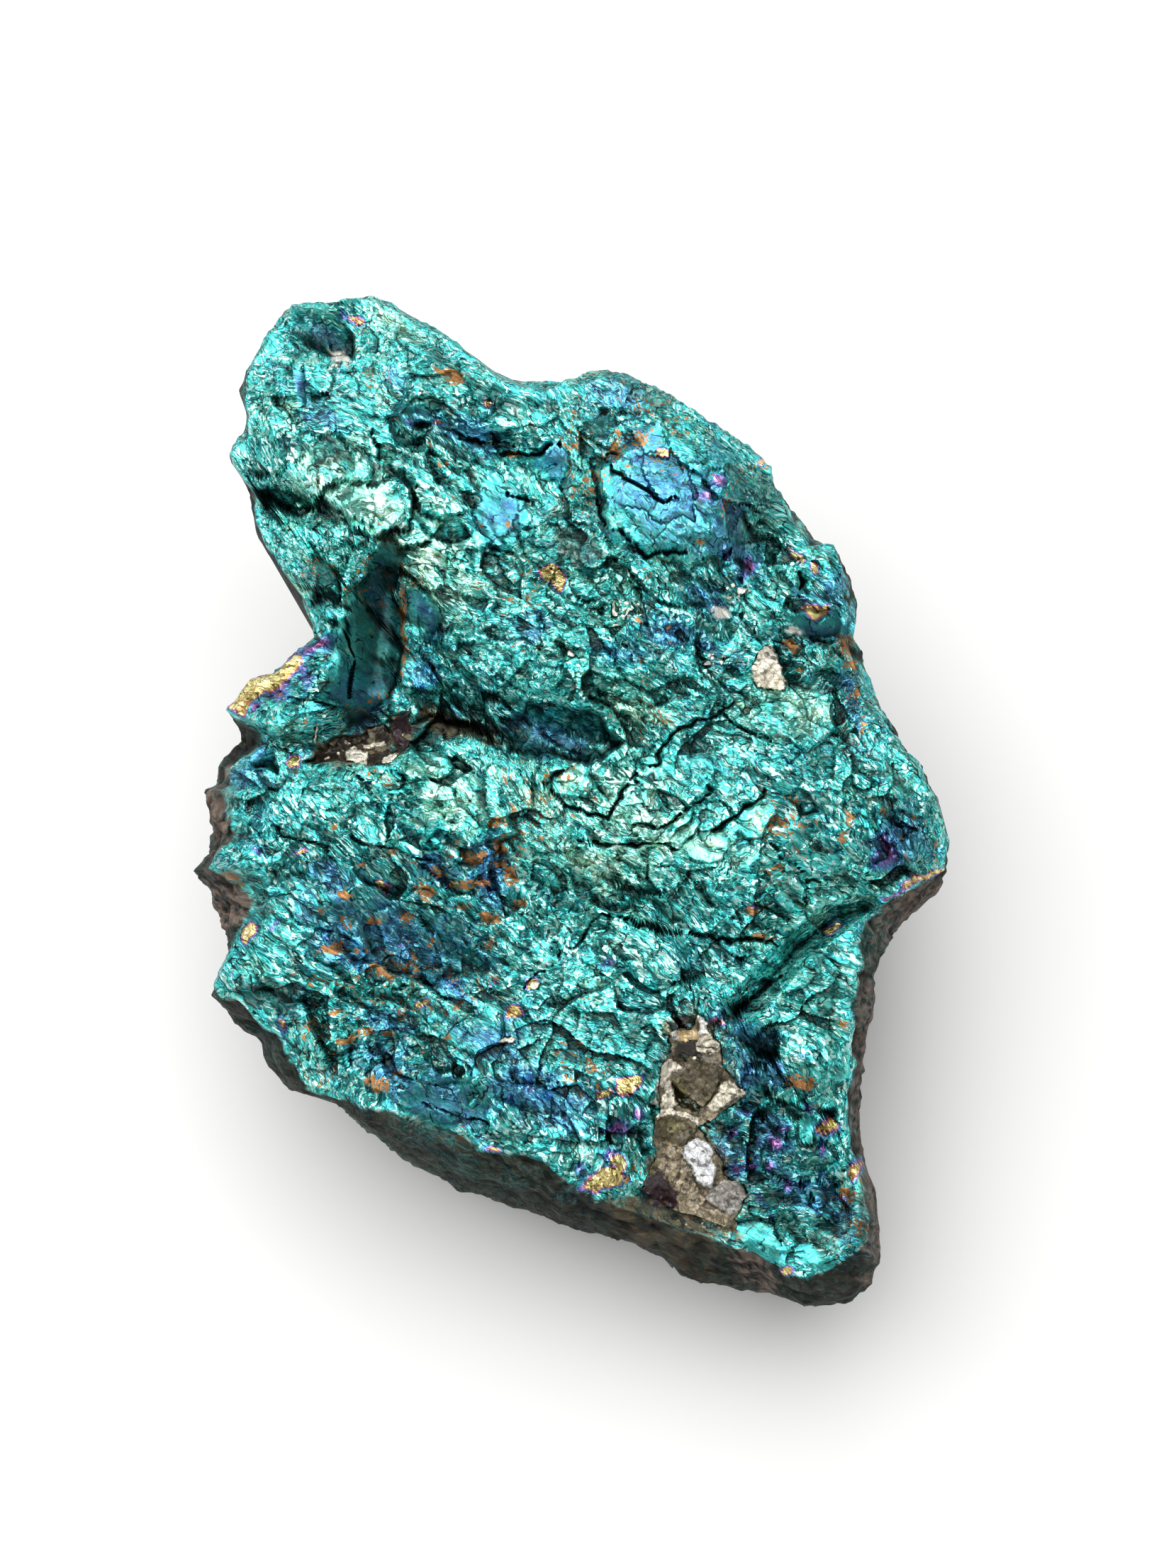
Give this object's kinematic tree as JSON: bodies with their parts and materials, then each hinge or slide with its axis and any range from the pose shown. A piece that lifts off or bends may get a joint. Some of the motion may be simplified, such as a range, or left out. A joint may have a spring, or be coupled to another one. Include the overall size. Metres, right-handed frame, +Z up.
{
  "type": "peacock ore",
  "caption": "Palm-sized rough lump of peacock ore with a broad broken face of blue-green metallic tarnish, resting on a small flat break.",
  "frame": {"origin": "on the surface that the stone rests on, under the middle of its box", "axes": "+Z up; +Y runs from the thin end of the broad face to its thick end; +X to the right as seen from the thin end"},
  "size_m": [0.0396, 0.0504, 0.0265],
  "materials": {
    "tarnished_ore": "metallic tarnish on broken ore: blue-green to mint, with blue, violet and gold patches, dull grey-bronze on the side walls",
    "vein_quartz": "white to olive translucent quartz grains and crystals grown into the ore"
  },
  "bodies": {
    "root": {"peacock_ore": "tarnished_ore"}
  },
  "joints": []
}
